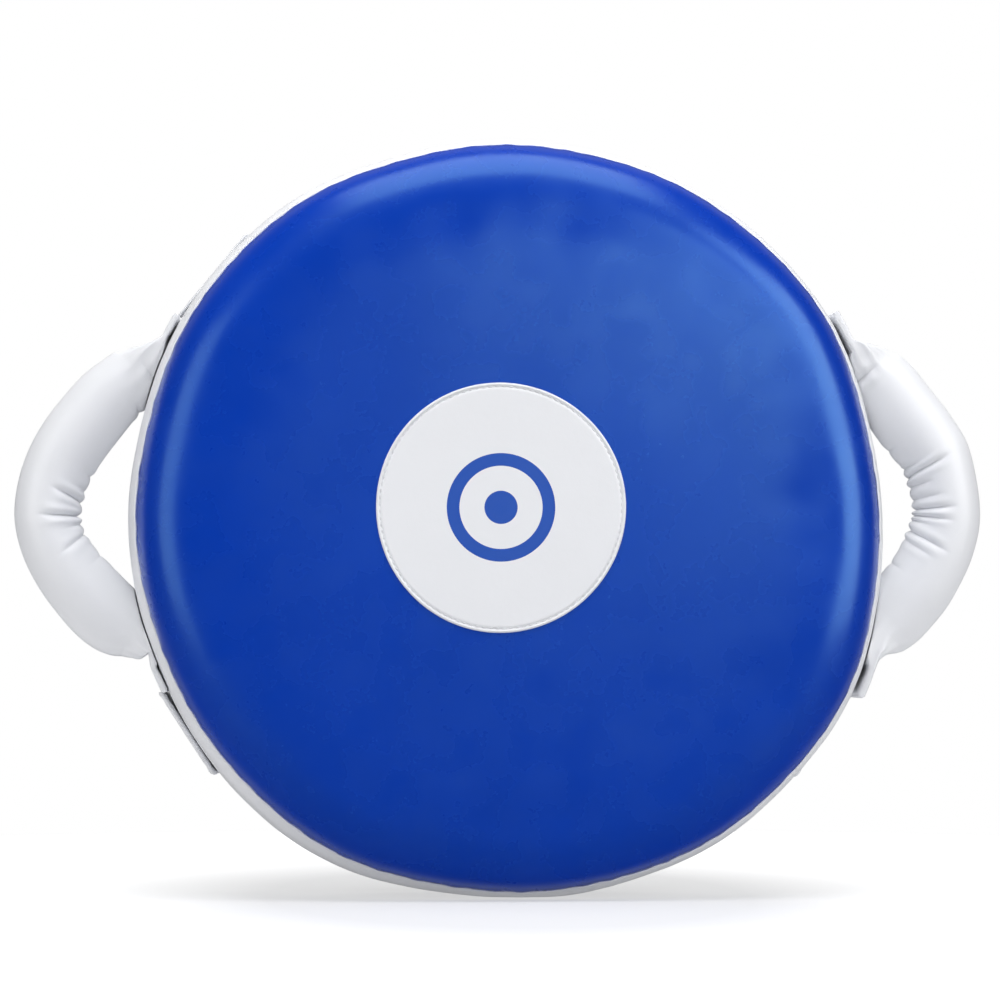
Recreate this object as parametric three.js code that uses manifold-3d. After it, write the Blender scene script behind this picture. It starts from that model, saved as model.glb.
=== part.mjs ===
// Round kick shield: a stuffed strike pad with a handle at each side, standing on its edge.
// Millimetres, +Z up. The strike face looks along -Y, and the disc's axis runs along Y.
// The origin is at floor level, in the middle of the box around the whole shield.
import * as THREE from "three";
import { mergeVertices } from "three/addons/utils/BufferGeometryUtils.js";
import Module from "manifold-3d";

const wasm = await Module();
wasm.setup();

// ---------------------------------------------------------------- driving dimensions
const gap = 0.3; // between pieces that touch
const skin = 1.8; // coated fabric with its backing

const seamRadius = 225; // both sewn seams
const bandBulge = 6; // the stuffed side band swells this far beyond its seams
const capDepth = 35; // strike face to front seam, all of it a rounded edge
const bandDepth = 83; // front seam to rear seam
const standHeight = 228.4; // floor to disc axis: the band is pressed flat where it stands
const pipingRadius = 1.9; // white piping in the front seam
const bindingRadius = 2; // black binding over the rear seam
const round = 64; // steps round the large rings

const patchRadius = 75;
const patchThickness = 1.5;
const patchOffset = new THREE.Vector2(-6, 5); // sewn a little off the middle

const strikeFoamDepth = 25;
const backFoamDepth = 20;
const foamEase = 1.2; // the foam blocks are cut this much smaller than their cover

const handleLift = 9.5; // the handles sit a little above the disc's axis
const handleRootHeight = 87.5; // half the height between the ends of a handle tube
const handleRootX = 240; // upright line through both ends, about which a handle swings
const handleMiddleX = 279; // centre of the tube at mid height
const gripRadius = 20.5;
const gripRootRadius = 14;
const gripOverrun = 6;
const gripSkin = 2;
const tabThickness = 5;
const tabWidth = 52;
const tabInner = 60; // a sewn tab reaches from here to tabOuter, above or below the middle
const tabOuter = 113;

const strapWidth = 50;
const strapThickness = 3.6;
const strapOffset = 140; // strap middle above and below the middle of the handles
const strapWrap = 45; // length of a strap end sewn along the side band
const armSpace = 18; // clear depth under a strap
const ringWire = 2; // radius of the ring's wire
const ringRightX = -60; // the bar that the strap folds round
const ringLeftX = -76; // the bar in the sewn loop
const patchLayer = 1.2; // hook or loop tape
const flapThickness = 2.8;
const flapLength = 100;

const zipRadius = 207;
const zipHalfAngle = 36; // degrees each side of the lowest point
const zipParked = 33; // the closed slider stands here, in degrees from the lowest point
const zipTapeWidth = 10;

// ---------------------------------------------------------------- depths along Y
const knuckleInner = ringWire + 0.4;
const knuckleOuter = knuckleInner + flapThickness;
const rearRise = 0.5; // the rear panel stands this far behind the rear seam
const strapReach = rearRise + armSpace + strapThickness + gap + 2 * knuckleOuter;
const totalDepth = patchThickness + gap + capDepth + bandDepth + strapReach;

const patchY = -totalDepth / 2;
const faceY = patchY + patchThickness + gap;
const seamY = faceY + capDepth;
const rearSeamY = seamY + bandDepth;
const bandMiddleY = (seamY + rearSeamY) / 2;
const panelY = rearSeamY + rearRise;
const strapRestY = rearSeamY + 2 * bindingRadius + 0.5; // where a strap passes over the binding
const strapY = panelY + armSpace; // underside of the bowed strap
const strapTopY = strapY + strapThickness;
const ringY = strapTopY + gap + knuckleOuter;
const anchorY = ringY - knuckleOuter; // underside of the anchor strap

// ---------------------------------------------------------------- materials
function finish(color, roughness, metalness = 0) {
  return new THREE.MeshStandardMaterial({ color, roughness, metalness });
}

const blueCover = finish(0x0b4bb4, 0.35);
const whiteCover = finish(0xdfe1e6, 0.45);
const blackPanel = finish(0x17181a, 0.7);
const strikeFoam = finish(0x3c4046, 0.9);
const softFoam = finish(0xc9c3a6, 0.95);
const webbing = finish(0x202124, 0.85);
const hookTape = finish(0x111214, 0.95);
const steel = finish(0xc8cacd, 0.25, 1);

// ---------------------------------------------------------------- helpers
const shield = new THREE.Group();

function add(name, geometry, material, place = new THREE.Vector3(0, 0, standHeight)) {
  const mesh = new THREE.Mesh(geometry, material);
  mesh.name = name;
  mesh.position.copy(place);
  shield.add(mesh);
  return mesh;
}

function solid(geometry) {
  const bare = geometry.clone();
  bare.deleteAttribute("normal");
  bare.deleteAttribute("uv");
  const merged = mergeVertices(bare, 1e-4);
  const data = { numProp: 3, vertProperties: merged.attributes.position.array };
  data.triVerts = new Uint32Array(merged.index.array);
  return new wasm.Manifold(new wasm.Mesh(data));
}

function geometryOf(body) {
  const mesh = body.getMesh();
  const geometry = new THREE.BufferGeometry();
  geometry.setAttribute("position", new THREE.BufferAttribute(mesh.vertProperties, 3));
  geometry.setIndex(new THREE.BufferAttribute(mesh.triVerts, 1));
  return geometry;
}

function box(lowX, highX, lowY, highY, lowZ, highZ) {
  const geometry = new THREE.BoxGeometry(highX - lowX, highY - lowY, highZ - lowZ);
  return geometry.translate((lowX + highX) / 2, (lowY + highY) / 2, (lowZ + highZ) / 2);
}

// Turns a list of [radius, y] points round the disc's axis.
function turned(points, steps = round) {
  const profile = points.map(([r, y]) => new THREE.Vector2(r, y));
  return new THREE.LatheGeometry(profile, steps, Math.PI / steps);
}

function closed(points) {
  return [...points, points[0]];
}

function spread(from, to, steps) {
  return Array.from({ length: steps + 1 }, (_, i) => from + ((to - from) * i) / steps);
}

// An outline in X and Z becomes a plate, its middle at y.
function uprightPlate(shape, thickness, y, curveSegments = 12) {
  const settings = { depth: thickness, bevelEnabled: false, curveSegments };
  const geometry = new THREE.ExtrudeGeometry(shape, settings);
  return geometry.rotateX(Math.PI / 2).translate(0, y + thickness / 2, 0);
}

// An outline in X and Y becomes a strip, its middle at height z.
function levelStrip(points, width, z, holes = []) {
  const shape = new THREE.Shape(points.map(([x, y]) => new THREE.Vector2(x, y)));
  shape.holes.push(...holes);
  const settings = { depth: width, bevelEnabled: false, curveSegments: 6 };
  const geometry = new THREE.ExtrudeGeometry(shape, settings);
  return geometry.translate(0, 0, z - width / 2);
}

// ---------------------------------------------------------------- the stuffed disc
function bandRadius(y) {
  const along = (y - bandMiddleY) / (bandDepth / 2);
  return seamRadius + bandBulge * (1 - along ** 4);
}

// The side band gives way to the floor, and keeps its thickness there.
function pressFlat(geometry) {
  const place = geometry.attributes.position;
  for (let i = 0; i < place.count; i++) {
    const inset = bandRadius(place.getY(i)) - Math.hypot(place.getX(i), place.getZ(i));
    place.setZ(i, Math.max(place.getZ(i), inset - standHeight));
  }
  return geometry;
}

function edgeArc(reach, endY, steps) {
  const last = Math.acos((seamY - endY) / reach);
  const flat = seamRadius - capDepth;
  return spread(0, last, steps).map((a) => [flat + reach * Math.sin(a), seamY - reach * Math.cos(a)]);
}

function frontCover() {
  const endY = seamY - pipingRadius - gap;
  const outside = edgeArc(capDepth, endY, 6);
  const inside = edgeArc(capDepth - skin, endY, 5).reverse();
  return turned([[0, faceY], ...outside, ...inside, [0, faceY + skin]]);
}

function sideBand() {
  const depths = spread(seamY + pipingRadius + gap, rearSeamY - gap, 7);
  const outside = depths.map((y) => [bandRadius(y), y]);
  const inside = depths.reverse().map((y) => [bandRadius(y) - skin, y]);
  return pressFlat(turned(closed([...outside, ...inside])));
}

function roundCord(ringRadius, wire, y) {
  return new THREE.TorusGeometry(ringRadius, wire, 6, round).rotateX(Math.PI / 2).translate(0, y, 0);
}

function disc(radius, lowY, highY, steps = round) {
  return turned([[0, lowY], [radius, lowY], [radius, highY], [0, highY]], steps);
}

function strikeFoamBlock() {
  const endY = faceY + skin + gap + strikeFoamDepth;
  const edge = edgeArc(capDepth - skin - foamEase, endY, 4);
  return turned([[0, edge[0][1]], ...edge, [0, endY]], 32);
}

function coreFoamBlock() {
  const startY = faceY + skin + strikeFoamDepth + 2 * gap;
  const endY = rearSeamY - backFoamDepth - 2 * gap - skin;
  const clearance = skin + 3;
  const sideRadius = (y) => Math.max(bandRadius(y), seamRadius) - clearance;
  const side = spread(startY, endY, 5).map((y) => [sideRadius(y), y]);
  return turned([[0, startY], ...side, [0, endY]], 32);
}

const patchPlace = new THREE.Vector3(patchOffset.x, 0, standHeight + patchOffset.y);
const backFoamEnd = panelY - skin - gap;

add("front_cover", frontCover(), blueCover);
add("target_patch", disc(patchRadius, patchY, patchY + patchThickness, 48), whiteCover, patchPlace);
add("front_piping", roundCord(seamRadius - 0.5, pipingRadius, seamY), whiteCover);
add("side_band", sideBand(), whiteCover);
add("rear_panel", disc(seamRadius - 4.2, panelY - skin, panelY), blackPanel);
add("rear_binding", roundCord(seamRadius - 1.4, bindingRadius, rearSeamY + bindingRadius), blackPanel);
add("strike_foam", strikeFoamBlock(), strikeFoam);
add("core_foam", coreFoamBlock(), softFoam);
add("back_foam", disc(seamRadius - 6, backFoamEnd - backFoamDepth, backFoamEnd, 32), strikeFoam);

// ---------------------------------------------------------------- handles
function onCircle(radius, z) {
  return Math.sqrt(radius ** 2 - z ** 2);
}

// The flattened end of a handle cover, sewn to the band. Its foot covers the end of the tube.
function handleTab(side, up) {
  const inner = seamRadius + bandBulge + 0.4;
  const outer = inner + tabThickness;
  const start = handleLift + up * tabInner;
  const end = handleLift + up * tabOuter;
  const foot = handleLift + up * (handleRootHeight + gap);
  const footX = handleRootX + gripRootRadius + 0.5;
  const points = spread(start, end, 5).map((z) => [onCircle(inner, z), z]);
  points.push([onCircle(outer, end), end]);
  points.push([footX - 4, foot + up * 6]);
  points.push([footX, foot + up * 2]);
  points.push([footX, foot]);
  points.push(...spread(foot, start, 3).map((z) => [onCircle(outer, z), z]));
  const shape = new THREE.Shape(points.map(([x, z]) => new THREE.Vector2(side * x, z)));
  return uprightPlate(shape, tabWidth, bandMiddleY);
}

// The middle line of a handle tube. It runs a little past both ends, which are then trimmed level.
function gripLine(side) {
  const upperHalf = [
    [handleMiddleX, 0],
    [274.5, 21],
    [264.5, 42],
    [250.5, 62],
    [242, 77],
    [handleRootX, 87],
    [handleRootX, handleRootHeight + gripOverrun],
  ];
  const lowerHalf = upperHalf.slice(1).map(([x, z]) => [x, -z]);
  const line = [...lowerHalf.reverse(), ...upperHalf];
  const place = ([x, z]) => new THREE.Vector3(side * x, bandMiddleY, handleLift + z);
  return new THREE.CatmullRomCurve3(line.map(place));
}

// A handle is thickest in the palm and draws in towards its ends.
function gripSize(share) {
  const fromEnd = Math.min(share, 1 - share);
  const taper = THREE.MathUtils.smoothstep(fromEnd, 0.03, 0.24);
  return gripRootRadius + (gripRadius - gripRootRadius) * taper;
}

// Bends a straight turned piece, which runs along Y from 0 to 1, onto a curve.
function bentAlong(geometry, curve) {
  const place = geometry.attributes.position;
  for (let i = 0; i < place.count; i++) {
    const share = THREE.MathUtils.clamp(place.getY(i), 0, 1);
    const ahead = curve.getTangentAt(share);
    const across = new THREE.Vector3(ahead.z, 0, -ahead.x);
    const third = new THREE.Vector3().crossVectors(across, ahead);
    const point = curve.getPointAt(share);
    point.addScaledVector(across, place.getX(i)).addScaledVector(third, place.getZ(i));
    place.setXYZ(i, point.x, point.y, point.z);
  }
  return geometry;
}

function trimmedLevel(geometry) {
  const half = gripRadius + 1;
  const reach = handleMiddleX + half;
  const low = handleLift - handleRootHeight;
  const high = handleLift + handleRootHeight;
  const keep = box(-reach, reach, bandMiddleY - half, bandMiddleY + half, low, high);
  return geometryOf(solid(geometry).intersect(solid(keep)));
}

function gripTube(side, inset, boreRadius) {
  const shares = spread(0, 1, 16);
  const outside = shares.map((s) => [gripSize(s) - inset, s]);
  const inside = shares.reverse().map((s) => [boreRadius(gripSize(s)), s]);
  return trimmedLevel(bentAlong(turned(closed([...outside, ...inside]), 12), gripLine(side)));
}

function gripWebbing(side) {
  const halfWidth = 5.5;
  const halfThick = 1.5;
  const corners = [[-1, -1], [1, -1], [1, 1], [-1, 1]];
  const outline = corners.map(([a, b]) => new THREE.Vector2(a * halfWidth, b * halfThick));
  const settings = { steps: 18, bevelEnabled: false, extrudePath: gripLine(side) };
  return trimmedLevel(new THREE.ExtrudeGeometry(new THREE.Shape(outline), settings));
}

for (const [name, side] of [["left", -1], ["right", 1]]) {
  add(`${name}_upper_tab`, handleTab(side, 1), whiteCover);
  add(`${name}_lower_tab`, handleTab(side, -1), whiteCover);
  add(`${name}_handle_cover`, gripTube(side, 0, (r) => r - gripSkin), whiteCover);
  add(`${name}_handle_foam`, gripTube(side, gripSkin + foamEase, () => 7), softFoam);
  add(`${name}_handle_webbing`, gripWebbing(side), webbing);
}

// ---------------------------------------------------------------- rear straps
// A strap end turns over the rear seam and lies along the side band.
function strapEnd(side, z, fromX) {
  const depths = spread(rearSeamY - strapWrap, rearSeamY - 4, 4);
  const hug = 0.4;
  const inner = depths.map((y) => [bandRadius(y) + hug, y]);
  const outer = depths.map((y) => [bandRadius(y) + hug + strapThickness, y]);
  inner.push([seamRadius + 1.3, rearSeamY + 1.5], [seamRadius - 0.5, strapRestY]);
  inner.push([fromX, strapRestY]);
  const back = strapRestY + strapThickness;
  outer.push([seamRadius + 4.8, rearSeamY + 3.5], [seamRadius + 2, back], [fromX, back]);
  const ring = solid(turned(closed([...outer, ...inner.reverse()])));
  const wide = seamRadius + 20;
  const low = side > 0 ? fromX : -wide;
  const half = strapWidth / 2;
  const block = box(low, low + wide - fromX, seamY, back + 10, z - half, z + half);
  return ring.intersect(solid(block));
}

function strapRun(points, z, holes) {
  const strip = solid(levelStrip(points, strapWidth, z, holes));
  return strip.intersect(solid(disc(seamRadius - 1, seamY, -patchY + 10)));
}

function strapPlaces(z) {
  const rim = onCircle(seamRadius, z);
  return { restX: rim - 30, bowX: rim - 80, endX: rim };
}

// From the right rim to the ring, under its right bar.
function longStrap(z) {
  const { restX, bowX, endX } = strapPlaces(z);
  const low = [[ringRightX - 2, strapY], [bowX, strapY]];
  low.push([restX, strapRestY], [endX, strapRestY]);
  const high = low.map(([x, y]) => [x, y + strapThickness]).reverse();
  return geometryOf(strapRun([...low, ...high], z, []).add(strapEnd(1, z, restX - 1)));
}

// From the left rim to the ring, with the loop that holds its left bar.
function anchorStrap(z) {
  const { restX, bowX, endX } = strapPlaces(z);
  const loopStart = ringLeftX - 9;
  const loopEnd = ringLeftX + knuckleOuter;
  const loopTop = ringY + knuckleOuter;
  const points = [[-endX, strapRestY], [-restX, strapRestY], [-bowX - 4, anchorY]];
  points.push([loopEnd - 2, anchorY], [loopEnd, anchorY + 2]);
  points.push([loopEnd, loopTop - 2], [loopEnd - 2, loopTop], [loopStart, loopTop]);
  points.push([loopStart - 3, anchorY + strapThickness], [-bowX - 4, anchorY + strapThickness]);
  points.push([-restX, strapRestY + strapThickness], [-endX, strapRestY + strapThickness]);
  const hole = new THREE.Path().absarc(ringLeftX, ringY, knuckleInner, 0, 2 * Math.PI, true);
  return geometryOf(strapRun(points, z, [hole]).add(strapEnd(-1, z, restX - 1)));
}

// A wire ring in the shape of a rectangle with round corners, wider than the strap.
function strapRing() {
  const corner = 5;
  const halfX = (ringRightX - ringLeftX) / 2 - corner;
  const halfZ = strapWidth / 2 + 0.5;
  const geometry = new THREE.TorusGeometry(corner, ringWire, 8, 24);
  const place = geometry.attributes.position;
  const direction = (value) => (Math.abs(value) < 1e-6 ? 0 : Math.sign(value));
  for (let i = 0; i < place.count; i++) {
    place.setX(i, place.getX(i) + halfX * direction(place.getX(i)));
    place.setY(i, place.getY(i) + halfZ * direction(place.getY(i)));
  }
  return geometry.rotateX(Math.PI / 2);
}

// The end of the long strap, folded back over the ring's right bar.
function strapFlap(z) {
  const rest = strapTopY + 2 * patchLayer + 3 * gap;
  const onBar = (radius, a) => [ringRightX + radius * Math.cos(a), ringY + radius * Math.sin(a)];
  const arc = (radius, from, to) => spread(from, to, 6).map((a) => onBar(radius, a));
  const top = Math.PI / 2;
  const end = 1.1 * Math.PI;
  const far = ringRightX + flapLength;
  const points = [...arc(knuckleOuter, top, end), ...arc(knuckleInner, end, top)];
  points.push([ringRightX + 14, rest], [far, rest], [far, rest + flapThickness]);
  points.push([ringRightX + 14, rest + flapThickness]);
  return levelStrip(points, strapWidth, z);
}

function tapePatch(lowY, z) {
  const half = strapWidth / 2 - 3;
  const highX = ringRightX + flapLength - 8;
  return box(ringRightX + 18, highX, lowY, lowY + patchLayer, z - half, z + half);
}

for (const [name, up] of [["upper", 1], ["lower", -1]]) {
  const z = handleLift + up * strapOffset;
  const ringPlace = new THREE.Vector3((ringLeftX + ringRightX) / 2, ringY, standHeight + z);
  add(`${name}_long_strap`, longStrap(z), whiteCover);
  add(`${name}_anchor_strap`, anchorStrap(z), whiteCover);
  add(`${name}_strap_ring`, strapRing(), steel, ringPlace);
  add(`${name}_strap_flap`, strapFlap(z), whiteCover);
  add(`${name}_loop_tape`, tapePatch(strapTopY + gap, z), hookTape);
  add(`${name}_hook_tape`, tapePatch(strapTopY + 2 * gap + patchLayer, z), hookTape);
}

// ---------------------------------------------------------------- filling zip
const degree = Math.PI / 180;
const tapeTopY = panelY + gap + 0.8;
const coilY = tapeTopY + gap;
const coilHeight = 2.2;
const coilHalf = 1.5;
const coilTopY = coilY + coilHeight;

function zipArc(innerRadius, outerRadius, from, to, lowY, highY, curveSegments) {
  const shape = new THREE.Shape();
  shape.absarc(0, 0, outerRadius, from * degree, to * degree, false);
  shape.absarc(0, 0, innerRadius, to * degree, from * degree, true);
  return uprightPlate(shape, highY - lowY, (lowY + highY) / 2, curveSegments);
}

function wholeZipArc(innerRadius, outerRadius, lowY, highY) {
  const from = -90 - zipHalfAngle;
  return zipArc(innerRadius, outerRadius, from, from + 2 * zipHalfAngle, lowY, highY, 10);
}

// The slider and its pull are drawn at the lowest point and turned to where they are parked.
function parked(geometry) {
  return geometry.rotateY(-zipParked * degree);
}

const bailY = coilTopY + 4.4;
const bailWire = 0.8;
const bailHalf = 3.2;

function zipSlider() {
  const play = 0.4;
  const wall = 1.7;
  const inner = coilHalf + play;
  const half = inner + wall;
  const plateY = coilTopY + play;
  const plate = box(-7, 7, plateY, plateY + wall, -zipRadius - half, -zipRadius + half);
  let body = solid(plate);
  for (const side of [-1, 1]) {
    const low = -zipRadius + side * (inner + wall / 2) - wall / 2;
    const post = -zipRadius + side * bailHalf;
    const flank = box(-7, 7, coilY + 0.1, plateY + 0.5, low, low + wall);
    const bailPost = box(-1.2, 1.2, plateY + 1, bailY + 1.2, post - 0.6, post + 0.6);
    body = body.add(solid(flank)).add(solid(bailPost));
  }
  const bar = new THREE.CylinderGeometry(bailWire, bailWire, 2 * bailHalf, 10).rotateX(Math.PI / 2);
  return parked(geometryOf(body.add(solid(bar.translate(0, bailY, -zipRadius)))));
}

function zipPull() {
  const eyeWidth = 2 * bailHalf - 1.8;
  const eye = new THREE.CylinderGeometry(1.9, 1.9, eyeWidth, 14).rotateX(Math.PI / 2);
  const bore = new THREE.CylinderGeometry(1.15, 1.15, eyeWidth + 2, 14).rotateX(Math.PI / 2);
  const low = bailY - 0.7;
  const high = bailY + 0.7;
  const stem = box(-6, -1.4, low, high, -zipRadius - 1.8, -zipRadius + 1.8);
  const plate = box(-20, -5.5, low, high, -zipRadius - 3.2, -zipRadius + 3.2);
  let body = solid(eye.translate(0, bailY, -zipRadius)).add(solid(stem)).add(solid(plate));
  body = body.subtract(solid(bore.translate(0, bailY, -zipRadius)));
  return parked(geometryOf(body));
}

for (const [name, side] of [["outer", 1], ["inner", -1]]) {
  const edges = [zipRadius + (side * gap) / 2, zipRadius + side * zipTapeWidth];
  const tape = wholeZipArc(Math.min(...edges), Math.max(...edges), panelY + gap, tapeTopY);
  add(`zip_${name}_tape`, tape, blackPanel);
}
add("zip_coil", wholeZipArc(zipRadius - coilHalf, zipRadius + coilHalf, coilY, coilTopY), blackPanel);
for (const [name, side] of [["open", -1], ["closed", 1]]) {
  const from = -90 + side * (zipHalfAngle + 1) - 0.6;
  const low = panelY + gap;
  const stop = zipArc(zipRadius - 2.5, zipRadius + 2.5, from, from + 1.2, low, coilTopY, 1);
  add(`zip_${name}_stop`, stop, steel);
}
add("zip_slider", zipSlider(), steel);
add("zip_pull", zipPull(), steel);

export default shield;
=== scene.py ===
"""Looks of the round kick shield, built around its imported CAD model."""

import math

import bmesh
import bpy
import numpy as np
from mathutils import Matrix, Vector, noise
from mathutils.bvhtree import BVHTree


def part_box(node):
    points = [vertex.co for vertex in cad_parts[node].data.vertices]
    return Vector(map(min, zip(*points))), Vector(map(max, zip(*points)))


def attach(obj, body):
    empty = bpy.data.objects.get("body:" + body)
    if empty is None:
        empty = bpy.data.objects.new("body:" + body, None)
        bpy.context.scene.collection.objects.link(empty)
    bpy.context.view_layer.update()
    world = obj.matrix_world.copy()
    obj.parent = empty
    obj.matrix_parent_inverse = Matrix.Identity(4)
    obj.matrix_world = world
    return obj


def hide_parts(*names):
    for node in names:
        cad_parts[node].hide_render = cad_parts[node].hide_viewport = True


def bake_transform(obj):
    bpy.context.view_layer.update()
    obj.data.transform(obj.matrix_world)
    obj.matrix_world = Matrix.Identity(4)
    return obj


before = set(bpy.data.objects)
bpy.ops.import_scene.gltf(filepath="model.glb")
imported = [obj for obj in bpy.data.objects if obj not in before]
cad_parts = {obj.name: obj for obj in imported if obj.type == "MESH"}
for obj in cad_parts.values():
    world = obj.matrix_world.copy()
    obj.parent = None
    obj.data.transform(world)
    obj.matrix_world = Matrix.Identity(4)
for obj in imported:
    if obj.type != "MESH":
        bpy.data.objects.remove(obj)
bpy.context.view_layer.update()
MM = 0.001


# ---------------------------------------------------------------- sizes taken from the CAD nodes
def middle(node):
    low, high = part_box(node)
    return (low + high) / 2


def half_size(node):
    low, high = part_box(node)
    return (high - low) / 2


axis_height = middle("front_piping").z
seam_y = middle("front_piping").y
rear_seam_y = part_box("side_band")[1].y + 0.3 * MM
band_y = (seam_y + rear_seam_y) / 2
face_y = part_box("front_cover")[0].y
panel_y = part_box("rear_panel")[1].y
piping_radius = half_size("front_piping").y
piping_ring = half_size("front_piping").x - piping_radius
binding_ring = half_size("rear_binding").x - 2 * MM
binding_y = middle("rear_binding").y
band_radius = half_size("side_band").x + 0.3 * MM
seam_radius = piping_ring + 0.5 * MM
band_bulge = band_radius - seam_radius
cap_depth = seam_y - face_y
patch_middle = middle("target_patch") - Vector((2 * MM, 0, 0))
patch_radius = half_size("target_patch").x - 0.8 * MM
handle_height = middle("left_handle_cover").z

# ---------------------------------------------------------------- looks that the CAD doesn't have
# terms of a Fourier fit that a helper program made of the rim in the photo
rim_wobbles = [  # (waves round the rim, height in mm, phase in degrees)
    (2, 1.5, -109),
    (3, 0.3, -142),
    (4, 1.5, -164),
    (5, 0.5, -172),
    (7, 0.6, -137),
    (12, 0.4, 25),
]
around = 192  # points round the disc
under_patch = 60 * MM  # a square grid fills the middle, where the patch hides it
swell_cap = 2.5 * MM
sink_cap = 0.4 * MM


# ---------------------------------------------------------------- arrays and meshes
def smoothstep(x, low, high):
    t = np.clip((np.asarray(x, float) - low) / (high - low), 0, 1)
    return t * t * (3 - 2 * t)


def add_mesh(name, points, faces, material=None, smooth=True):
    mesh = bpy.data.meshes.new(name)
    mesh.from_pydata([tuple(p) for p in points], [], [tuple(int(i) for i in f) for f in faces])
    mesh.validate()
    face_outwards(mesh)
    mesh.polygons.foreach_set("use_smooth", [smooth] * len(mesh.polygons))
    piece = bpy.data.objects.new(name, mesh)
    bpy.context.scene.collection.objects.link(piece)
    if material:
        mesh.materials.append(material)
    return piece


def face_outwards(mesh):
    made = bmesh.new()
    made.from_mesh(mesh)
    bmesh.ops.recalc_face_normals(made, faces=made.faces)
    centre = sum((f.calc_center_median() for f in made.faces), Vector()) / len(made.faces)
    inward = sum((f.calc_center_median() - centre).dot(f.normal) * f.calc_area() for f in made.faces) < 0
    if inward:
        bmesh.ops.reverse_faces(made, faces=made.faces)
    made.to_mesh(mesh)
    made.free()


def points_of(piece):
    flat = np.zeros(len(piece.data.vertices) * 3)
    piece.data.vertices.foreach_get("co", flat)
    return flat.reshape(-1, 3)


def place_points(piece, points):
    piece.data.vertices.foreach_set("co", np.asarray(points, float).ravel())
    piece.data.update()


def subdivided(piece, levels=1):
    modifier = piece.modifiers.new("smooth", "SUBSURF")
    modifier.levels = modifier.render_levels = levels
    modifier.boundary_smooth = "ALL"
    evaluated = piece.evaluated_get(bpy.context.evaluated_depsgraph_get())
    fine = bpy.data.meshes.new_from_object(evaluated)
    piece.modifiers.clear()
    piece.data = fine
    fine.polygons.foreach_set("use_smooth", [True] * len(fine.polygons))
    return piece


def grid_faces(rows, columns, wrap_rows=False, wrap_columns=True):
    """Quads of a grid of points, row after row."""
    faces = []
    for i in range(rows if wrap_rows else rows - 1):
        for j in range(columns if wrap_columns else columns - 1):
            a, b = i * columns, (i + 1) % rows * columns
            k = (j + 1) % columns
            faces.append((a + j, a + k, b + k, b + j))
    return faces


def capped_tubes(name, points, rings, sides, material):
    """Closed tubes from their points, ring after ring and tube after tube."""
    faces = []
    for start in range(0, len(points), rings * sides):
        faces += [tuple(start + i for i in f) for f in grid_faces(rings, sides)]
        faces.append(tuple(range(start, start + sides))[::-1])
        faces.append(tuple(range(start + (rings - 1) * sides, start + rings * sides)))
    return add_mesh(name, points, faces, material)


def fine_line(knots, closed=False):
    """A smooth line through the knots, as 16 points for each knot."""
    knots = np.asarray(knots, float)
    n = len(knots)
    fine = []
    for i in range(n if closed else n - 1):
        p = [knots[(i + k) % n] if closed else knots[min(max(i + k, 0), n - 1)] for k in (-1, 0, 1, 2)]
        for t in np.linspace(0, 1, 16, endpoint=False):
            a = 2 * p[1] + (p[2] - p[0]) * t
            b = (2 * p[0] - 5 * p[1] + 4 * p[2] - p[3]) * t**2
            c = (3 * p[1] - p[0] - 3 * p[2] + p[3]) * t**3
            fine.append((a + b + c) / 2)
    fine.append(knots[0] if closed else knots[-1])
    return np.array(fine)


def even_places(fine, count):
    """Where along a fine line's list of points evenly spaced points would lie."""
    along = np.concatenate([[0], np.cumsum(np.linalg.norm(np.diff(fine, axis=0), axis=1))])
    return np.interp(np.linspace(0, along[-1], count), along, np.arange(len(fine)))


def picked(fine, places):
    return np.stack([np.interp(places, np.arange(len(fine)), values) for values in fine.T], axis=1)


def smooth_line(knots, count, closed=False):
    """Points spaced evenly along a smooth line through the knots."""
    fine = fine_line(knots, closed)
    even = picked(fine, even_places(fine, count + 1 if closed else count))
    return even[:-1] if closed else even


def round_rectangle(half_x, half_z, corner, steps, count):
    """Points along the outline of a rectangle with round corners."""
    knots = []
    for start, sx, sz in ((0, 1, 1), (90, -1, 1), (180, -1, -1), (270, 1, -1)):
        for t in np.radians(np.linspace(start, start + 90, steps)):
            x = sx * (half_x - corner) + corner * math.cos(t)
            z = sz * (half_z - corner) + corner * math.sin(t)
            knots.append((x, z))
    return smooth_line(knots, count, closed=True)


def tangents(line, closed=False):
    if closed:
        step = np.roll(line, -1, axis=0) - np.roll(line, 1, axis=0)
    else:
        step = np.gradient(line, axis=0)
    return step / np.maximum(np.linalg.norm(step, axis=1, keepdims=True), 1e-12)


def swept(name, line, outward, section, closed=True, material=None):
    """Sweeps a section, a function of the share along the line, which gives (outward, across) offsets."""
    line = np.asarray(line, float)
    ahead = tangents(line, closed)
    out = np.asarray(outward, float)
    out = out - (out * ahead).sum(1, keepdims=True) * ahead
    out /= np.linalg.norm(out, axis=1, keepdims=True)
    across = np.cross(ahead, out)
    rings = []
    for i in range(len(line)):
        offsets = np.asarray(section(i / len(line)), float)
        rings.append(line[i] + offsets[:, :1] * out[i] + offsets[:, 1:] * across[i])
    points, sides = np.concatenate(rings), len(rings[0])
    if not closed:
        return capped_tubes(name, points, len(line), sides, material)
    return add_mesh(name, points, grid_faces(len(line), sides, wrap_rows=True), material)


def oval(wide, high, sides=12):
    a = np.linspace(0, 2 * np.pi, sides, endpoint=False)
    return np.stack([wide * np.cos(a), high * np.sin(a)], axis=1)


def waviness(points, size, seed=0.0):
    """Smooth noise from -1 to 1 at points, with lumps of about that size."""
    return np.array([noise.noise(Vector(p) / size + Vector((seed, 2 * seed, -seed))) for p in points])


# ---------------------------------------------------------------- the soft outline of the disc
def rim_wobble(angle):
    return sum(MM * h * np.cos(n * angle - math.radians(phase)) for n, h, phase in rim_wobbles)


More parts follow.
